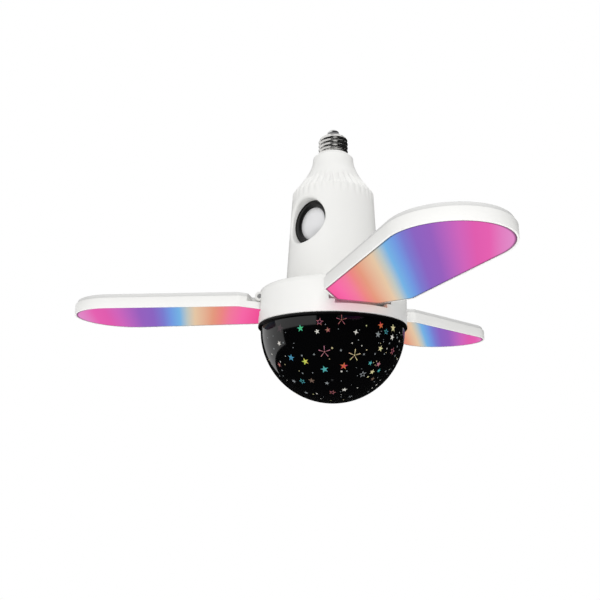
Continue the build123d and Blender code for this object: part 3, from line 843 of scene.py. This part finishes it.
def makeBladeBlank():
    b = blade
    under, top = b["under"], b["under"] + b["height"]
    tier = under + b["lowerTier"]
    rebate = under + b["panelRecess"] + b["panelT"]
    border, step, soft = b["border"], b["tierStep"], b["softEdge"]
    bevel = soft * b["softShare"]
    inward, upward = b["borderEdge"]
    levels = [(border, rebate), (border, under + upward), (border - inward, under),
              (soft, under), (bevel, under + bevel), (0, under + soft), (0, tier - soft),
              (bevel, tier - bevel), (soft, tier), (step, tier)]
    bends = [math.radians(turn) for turn in b["tierTurns"]]
    levels += [(step * (2 - math.cos(bend)), top - step * (1 - math.sin(bend))) for bend in bends]
    bm = bmesh.new()
    stackLoops(bm, levels)
    body = fromBmesh("bladeBlank", bm, 30.0)
    wide = b["tipHalfW"] * 2
    notch = boxPiece("notch", (0, -wide, under + b["thinRoot"]), (b["thickStart"], wide, top * 2))
    body = combined(body, [notch], "DIFFERENCE")
    across = Matrix.Translation((b["hingeR"], 0, b["hingeZ"])) @ Matrix.Rotation(math.radians(90), 4, "X")
    half = b["knuckleHalfW"]
    web = boxPiece("web", (b["hingeR"] - b["knuckleR"] / 2, -half, under + b["thinRoot"] - mm),
                   (b["thickStart"] + mm, half, b["hingeZ"]))
    body = combined(body, [web, rod("barrel", b["knuckleR"], half, b["barrelSteps"], across)], "UNION")
    body = combined(body, [rod("bore", b["pinR"], 2 * half, b["boreSteps"], across)], "DIFFERENCE")
    # heights over the lower tier, which place the painted shade on the upper tier
    heights = [vert.co.z - tier for vert in body.data.vertices]
    body.data.attributes.new("overTier", "FLOAT", "POINT").data.foreach_set("value", heights)
    return body


def makePanel(side):
    b = blade
    low = b["under"] + b["panelRecess"]
    high = low + b["panelT"]
    edge, chamfer = b["border"] + b["panelGap"], b["panelEdge"]
    slant, start, width = b["bands"][side]
    bm = bmesh.new()
    levels = [(edge, high), (edge, low + chamfer), (edge + chamfer, low), (edge + b["rimW"], low)]
    loops = stackLoops(bm, levels)
    inside = set(loops[-1])
    bmesh.ops.recalc_face_normals(bm, faces=bm.faces)
    # the map gives the place in the bands of colour, and how dark the rim is
    front = bm.loops.layers.uv.new("front")
    for face in bm.faces:
        for loop in face.loops:
            point = loop.vert.co
            along = b["blueStart"] + (point.x + point.y * slant - start) / width
            loop[front].uv = (along, 0.0 if loop.vert in inside else 1.0)
    bmesh.ops.transform(bm, matrix=bladeMatrix(side), verts=bm.verts)
    return shadeSmooth(plainObject("lightPanel_" + side, bm), 30.0)


def makeBlades():
    blank = makeBladeBlank()
    for side in bladeSides:
        body = makeObject("bladeHousing_" + side, blank.data.copy())
        body.data.transform(bladeMatrix(side))
        # the blade housings take the white with the painted shade on their upper tier
        settle(body, "blade_" + side, tieredPlastic, "blade_housing_" + side, slot="white_plastic")
        panel = settle(makePanel(side), "blade_" + side, "lit_diffuser", "light_panel_" + side)
        panel.visible_glossy = False
    bpy.data.objects.remove(blank)


makeBlades()
print("blades made")


# Star dome

dome = {
    "radius": 61.0 * mm, "wall": 1.8 * mm, "top": -2.6 * mm, "skirt": 1.2 * mm,
    "ringR": 63.2 * mm, "ringInnerR": 56.0 * mm, "ringT": 2.2 * mm, "ringEdge": 0.5 * mm,
    "windowLift": 0.05 * mm,
    "stepsAround": 192, "outerSteps": 64, "innerSteps": 48,
}
tints = {
    "white": (0.9, 0.88, 0.8), "cream": (0.85, 0.78, 0.4), "warm": (0.85, 0.66, 0.36),
    "yellow": (0.75, 0.78, 0.1), "red": (0.75, 0.08, 0.05), "rose": (0.45, 0.12, 0.14),
    "pink": (0.55, 0.2, 0.26), "cyan": (0.08, 0.5, 0.52), "green": (0.06, 0.62, 0.35),
    "blue": (0.06, 0.32, 0.55), "grey": (0.3, 0.33, 0.34), "brown": (0.2, 0.12, 0.08),
    "faint": (0.05, 0.03, 0.035),
}
# the figures at unit size; a ray's outline is given as half width and reach
starForms = {
    "waist": 0.4, "sparkWaist": 0.34, "hollow": 0.62, "rays": 5, "rayHub": 0.13,
    "ray": [(-0.025, 0.2), (0.025, 0.2), (0.065, 0.88), (0.0, 1.0), (-0.065, 0.88)],
}
# the large stars: degrees round the dome, degrees below its edge, radius in millimetres, shape and tint
largeStars = [
    (-107, 8, 3.0, "star", "green"), (-94, 11, 2.2, "star", "white"), (-86, 10, 2.2, "star", "rose"),
    (-65, 11, 2.3, "spark", "white"), (-76, 2.5, 4.4, "burst", "rose"), (-92, 4, 3.2, "hollow", "rose"),
    (-129, 17, 2.4, "star", "white"), (-120, 29, 3.2, "star", "blue"), (-107, 33, 3.1, "star", "yellow"),
    (-90, 40, 3.3, "star", "cyan"), (-72, 37, 3.3, "star", "red"), (-89, 26, 5.0, "burst", "pink"),
    (-64, 28, 5.3, "burst", "warm"), (-41, 21, 2.7, "star", "cream"), (-25, 21, 3.4, "hollow", "rose"),
    (-47, 33, 2.2, "star", "cyan"), (-37, 33, 2.6, "star", "pink"), (-40, 40, 2.6, "star", "cream"),
    (-32, 38, 2.0, "star", "cyan"), (-50, 43, 3.3, "hollow", "grey"), (-33, 46, 2.2, "star", "brown"),
    (-120, 50, 3.0, "hollow", "cyan"), (-133, 49, 2.2, "star", "grey"), (-107, 50, 2.9, "star", "brown"),
    (-89, 53, 2.0, "star", "grey"), (-64, 60, 2.5, "star", "white"), (-82, 64, 3.0, "hollow", "rose"),
    (-132, 63, 2.0, "star", "grey"), (-40, 69, 2.2, "hollow", "grey"), (-139, 33, 2.4, "star", "rose"),
    (-44, 4, 3.0, "star", "red"), (-30, 4, 3.4, "star", "cream"), (-38, 8, 2.6, "hollow", "cyan"),
    (-46, 11, 2.8, "star", "grey"), (-30, 11, 2.8, "star", "white"), (-126, 6, 4.2, "star", "faint"),
]
smallStars = {
    "count": 160, "seed": 7,
    "drops": (3, 88), "sines": (0.04, 0.99), "growth": (0.7, 1.3), "lean": 20, "twist": 72, "room": 1.1,
    # a denser patch: degrees round the dome, degrees below its edge, spread, and its share of the stars
    "patch": (-32.0, 18.0, 26.0, 0.3),
    # the side of the large stars, in degrees round the dome, gets dots and specks only
    "facing": -83.0, "facingHalf": 88.0,
    "nearKinds": ["dot", "dot", "speck"],
    "farKinds": ["star", "dot", "star", "hollow", "speck", "burst"],
    "dotTints": ["white", "grey", "cream", "grey"],
    "radii": {"star": 2.6, "speck": 0.95, "dot": 0.42, "hollow": 2.8, "burst": 4.6},
}


def makeDome():
    d = dome
    place = Matrix.Translation((0, 0, rimZ))
    top, centre = d["top"], (0, d["top"] - d["skirt"])
    radius, inside = d["radius"], d["radius"] - d["wall"]
    profile = arcPoints(centre, radius, -90, 0, d["outerSteps"]) + [(radius, top), (inside, top)]
    profile += arcPoints(centre, inside, 0, -90, d["innerSteps"])
    shell = lathe("starDome", profile, d["stepsAround"], place, 50.0)
    settle(shell, "dome", "star_black", "star_dome")
    high, edge = top + d["ringT"], d["ringEdge"]
    flange = [(d["ringInnerR"], top), (d["ringR"] - edge, top), (d["ringR"], top + edge),
              (d["ringR"], high - edge), (d["ringR"] - edge, high), (d["ringInnerR"], high)]
    settle(lathe("domeRing", flange, d["stepsAround"], place), "dome", ringFinish, "dome_ring")


def starCorners(count, start, *reaches):
    return [polar(reaches[step % len(reaches)], math.radians(start + 360 / count * step))
            for step in range(count)]


def starShape(kind):
    # a flat figure of unit size in the XY plane
    f = starForms
    bm = bmesh.new()
    star = starCorners(10, 90, 1.0, f["waist"])
    if kind == "hollow":
        outside = [bm.verts.new(corner) for corner in star]
        inside = [bm.verts.new(tuple(f["hollow"] * part for part in corner)) for corner in star]
        bridge(bm, outside, inside)
    elif kind == "burst":
        for number in range(f["rays"]):
            turn = turned(360 / f["rays"] * number)
            bm.faces.new([bm.verts.new(turn @ Vector((*point, 0))) for point in f["ray"]])
        bm.faces.new([bm.verts.new(corner) for corner in starCorners(6, 0, f["rayHub"])])
    else:
        spark = starCorners(8, 0, 1.0, f["sparkWaist"])
        outline = {"star": star, "spark": spark, "dot": starCorners(6, 0, 1.0)}[kind]
        bm.faces.new([bm.verts.new(corner) for corner in outline])
    bmesh.ops.recalc_face_normals(bm, faces=bm.faces)
    return plainObject(kind, bm)


def starTree(shape, sizes):
    group, tree, wires = newShapeTree("scatteredStars", sizes)
    figure = tree.node("GeometryNodeObjectInfo", values={"Object": shape}, out="Geometry")
    place = tree.node("GeometryNodeInputPosition")
    centre = tree.node("ShaderNodeCombineXYZ", values=[0.0, 0.0, wires["Dome Height"]])
    outward = tree.node("ShaderNodeVectorMath", {"operation": "SUBTRACT"}, [place, centre])
    size, twist = (tree.node("GeometryNodeInputNamedAttribute", {"data_type": "FLOAT"}, {"Name": label})
                   for label in ("size", "twist"))
    facing = tree.node("FunctionNodeAlignRotationToVector", {"axis": "Z"}, {"Vector": outward})
    turn = tree.node("FunctionNodeAxisAngleToRotation", values={"Angle": twist})
    spun = tree.node("FunctionNodeRotateRotation", {"rotation_space": "LOCAL"},
                     {"Rotation": facing, "Rotate By": turn})
    copies = tree.node("GeometryNodeInstanceOnPoints", values={
        "Points": wires["Geometry"], "Instance": figure, "Rotation": spun, "Scale": size})
    real = tree.node("GeometryNodeRealizeInstances", values=[copies])
    # the flat figures are bent onto the dome
    unit = tree.node("ShaderNodeVectorMath", {"operation": "NORMALIZE"}, [outward])
    reach = tree.node("ShaderNodeVectorMath", {"operation": "SCALE"}, {0: unit, "Scale": wires["Dome Radius"]})
    onDome = tree.node("ShaderNodeVectorMath", {"operation": "ADD"}, [reach, centre])
    bent = tree.node("GeometryNodeSetPosition", values={"Geometry": real, "Position": onDome})
    return endShapeTree(group, tree, bent, starFinish)


def starPoints():
    # every star as direction, size, twist, shape and tint
    s = smallStars
    chance = np.random.default_rng(s["seed"])
    stars = []
    for azimuth, drop, size, kind, tint in largeStars:
        lean = 0 if kind == "burst" else chance.uniform(-s["lean"], s["lean"])
        stars.append((azimuth, drop, size * mm, azimuth + 90 + lean, kind, tints[tint]))
    names = [name for name in tints if name != "faint"]
    lowest, highest = s["drops"]
    middle, level, spread, share = s["patch"]
    while len(stars) < len(largeStars) + s["count"]:
        if chance.uniform() < share:
            azimuth, drop = chance.normal(middle, spread), chance.normal(level, spread)
        else:
            azimuth, drop = chance.uniform(-180, 180), math.degrees(math.asin(chance.uniform(*s["sines"])))
        if not lowest < drop < highest:
            continue
        facing = abs((azimuth - s["facing"] + 180) % 360 - 180) < s["facingHalf"]
        kind = chance.choice(s["nearKinds"] if facing else s["farKinds"])
        size = s["radii"][kind] * chance.uniform(*s["growth"]) * mm
        tint = tints[chance.choice(s["dotTints"] if kind in ("dot", "speck") else names)]
        if all(apart(azimuth, drop, star) > (size + star[2]) * s["room"] for star in stars):
            twist = chance.uniform(0, s["twist"])
            stars.append((azimuth, drop, size, twist, "star" if kind == "speck" else kind, tint))
    return stars


def domeWay(azimuth, drop):
    turn, dip = math.radians(azimuth), math.radians(drop)
    return Vector(polar(math.cos(dip), turn, -math.sin(dip)))


def apart(azimuth, drop, other):
    return domeWay(azimuth, drop).angle(domeWay(*other[:2])) * dome["radius"]


def makeStars():
    d = dome
    height = rimZ + d["top"] - d["skirt"]
    centre = Vector((0, 0, height))
    sizes = {"Dome Radius": d["radius"] + d["windowLift"], "Dome Height": height}
    stars = starPoints()
    bm = bmesh.new()
    for kind in ("star", "hollow", "burst", "spark", "dot"):
        chosen = [star for star in stars if star[4] == kind]
        mesh = bpy.data.meshes.new(kind + "Points")
        mesh.from_pydata([domeWay(star[0], star[1]) * d["radius"] + centre for star in chosen], [], [])
        columns = {"size": [star[2] for star in chosen], "twist": [math.radians(star[3]) for star in chosen]}
        for label, values in columns.items():
            mesh.attributes.new(label, "FLOAT", "POINT").data.foreach_set("value", values)
        colours = [part for star in chosen for part in (*star[5], 1.0)]
        mesh.attributes.new("tint", "FLOAT_COLOR", "POINT").data.foreach_set("color", colours)
        shape = starShape(kind)
        windows = grown(makeObject(kind + "Points", mesh), starTree(shape, sizes), sizes, kind + "Windows")
        bm.from_mesh(windows.data)
        for spent in (shape, windows):
            bpy.data.objects.remove(spent)
    settle(plainObject("starWindows", bm), "dome", starFinish)
    print("stars:", len(stars))


makeDome()
makeStars()
print("dome made")


# Everything else keeps its CAD shape and takes its finish by material slot

def paintCadNodes():
    for part in frame["record"]["subparts"]:
        piece = frame["nodes"][part["node"]]
        if piece.hide_render:
            continue
        material = finishes[part["material_slot"]]
        if not piece.material_slots:
            piece.data.materials.append(material)
        for slot in piece.material_slots:
            slot.material = material


paintCadNodes()
print("inner pieces painted")


# Studio

studio = {
    "floorDrop": 1.0, "floorSize": 6.0, "floorGlow": 0.62,
    "worldStrength": 0.43,
    # each lamp's place over the hub's rim, width and power
    "lamps": {
        "key": ((0.08, -1.44, 0.5), 0.9, 10.0),
        "top": ((0.2, 0.3, 1.7), 1.2, 10.0),
        "back": ((0.1, 1.6, 0.5), 0.9, 8.5),
    },
    # dark cards that only reflections show: degrees round the lamp and heights in metres, each from and to
    "flags": [
        (-165.0, 60.0, -3.0, 0.0), (-107.0, 60.0, 0.0, 2.5),
        (60.0, 132.0, -3.0, 1.3), (132.0, 195.0, -3.0, -0.5),
    ],
    "flagR": 1.6, "flagSteps": 40,
    "floorFlagRs": (0.02, 3.2), "floorFlagLift": 0.05,
}


def makeFlag(name, start, end, low, high, radii):
    bm = bmesh.new()
    turns = [math.radians(turn) for turn in np.linspace(start, end, studio["flagSteps"])]
    lower, upper = ([bm.verts.new(polar(radius, turn, rimZ + height)) for turn in turns]
                    for radius, height in zip(radii, (low, high)))
    for step in range(len(turns) - 1):
        bm.faces.new((lower[step], lower[step + 1], upper[step + 1], upper[step]))
    flag = plainObject(name, bm)
    flag.data.materials.append(newFinish("flagBlack", (0.01, 0.01, 0.01), 1.0, specular=0.0)[0])
    for ray in ("camera", "diffuse", "shadow", "transmission"):
        setattr(flag, "visible_" + ray, False)


def makeWorld():
    # white to the camera and in reflections, softer as light
    strength = studio["worldStrength"]
    world = bpy.data.worlds.new("studio")
    world.use_nodes = True
    bpy.context.scene.world = world
    tree = Tree(world.node_tree)
    back = world.node_tree.nodes["Background"]
    back.inputs["Color"].default_value = (1, 1, 1, 1)
    path = tree.node("ShaderNodeLightPath").socket.node.outputs
    seen = Wire(tree, path["Is Camera Ray"])
    for ray in ("Is Transmission Ray", "Is Glossy Ray"):
        seen = tree.node("ShaderNodeMath", {"operation": "MAXIMUM"}, [seen, Wire(tree, path[ray])])
    tree.feed(back.inputs["Strength"], seen * (1 - strength) + strength)


def makeFloor():
    s = studio
    low = cadBounds[0][2] - s["floorDrop"]
    half = s["floorSize"] / 2
    corners = [(-half, -half, low), (half, -half, low), (half, half, low), (-half, half, low)]
    mesh = bpy.data.meshes.new("floor")
    mesh.from_pydata(corners, [], [(0, 1, 2, 3)])
    floor = makeObject("floor", mesh)
    material, _, shader = newFinish("floorWhite", (0.9, 0.9, 0.9), 0.9, specular=0.0)
    shader.inputs["Emission Color"].default_value = (1, 1, 1, 1)
    shader.inputs["Emission Strength"].default_value = s["floorGlow"]
    mesh.materials.append(material)
    for number, flag in enumerate(s["flags"]):
        makeFlag("flag" + str(number), *flag, (s["flagR"], s["flagR"]))
    flat = low - rimZ + s["floorFlagLift"]
    makeFlag("floorFlag", 0.0, 360.0, flat, flat, s["floorFlagRs"])


def makeLamps():
    for name, (place, size, power) in studio["lamps"].items():
        light = bpy.data.lights.new(name, "AREA")
        light.size = size
        light.energy = power
        lamp = makeObject(name, light)
        lamp.visible_glossy = False
        lamp.location = Vector(place) + Vector((0, 0, rimZ))
        lamp.rotation_euler = (-Vector(place)).to_track_quat("-Z", "Y").to_euler()


camera = {
    "distance": 0.638, "azimuth": 7.39, "below": 11.29,
    "pitch": 13.32, "yaw": -2.56, "roll": 0.85,
    "focalPixels": 748.0, "framePixels": 600.0, "sensor": 36.0, "clipStart": 0.01,
}


def makeCamera():
    c = camera
    dip, turn, pitch, yaw, roll = (math.radians(c[key]) for key in ("below", "azimuth", "pitch", "yaw", "roll"))
    spin = Matrix.Rotation(turn, 3, "Z")
    place = spin @ Vector((0, -math.cos(dip), -math.sin(dip))) * c["distance"] + Vector((0, 0, rimZ))
    ahead = Vector((math.sin(yaw) * math.cos(pitch), math.cos(yaw) * math.cos(pitch), math.sin(pitch)))
    right = ahead.cross(lampUp).normalized()
    up = right.cross(ahead)
    tilted = math.cos(roll) * right + math.sin(roll) * up
    upright = math.cos(roll) * up - math.sin(roll) * right
    axes = (spin @ Matrix((tilted, upright, -ahead)).transposed()).to_4x4()
    lens = bpy.data.cameras.new("camera")
    lens.sensor_width = c["sensor"]
    lens.lens = c["focalPixels"] / c["framePixels"] * c["sensor"]
    lens.clip_start = c["clipStart"]
    made = makeObject("camera", lens)
    made.matrix_world = Matrix.Translation(place) @ axes
    bpy.context.scene.camera = made


makeWorld()
makeFloor()
makeLamps()
makeCamera()
bpy.context.scene.view_settings.view_transform = "Standard"
print("studio made")
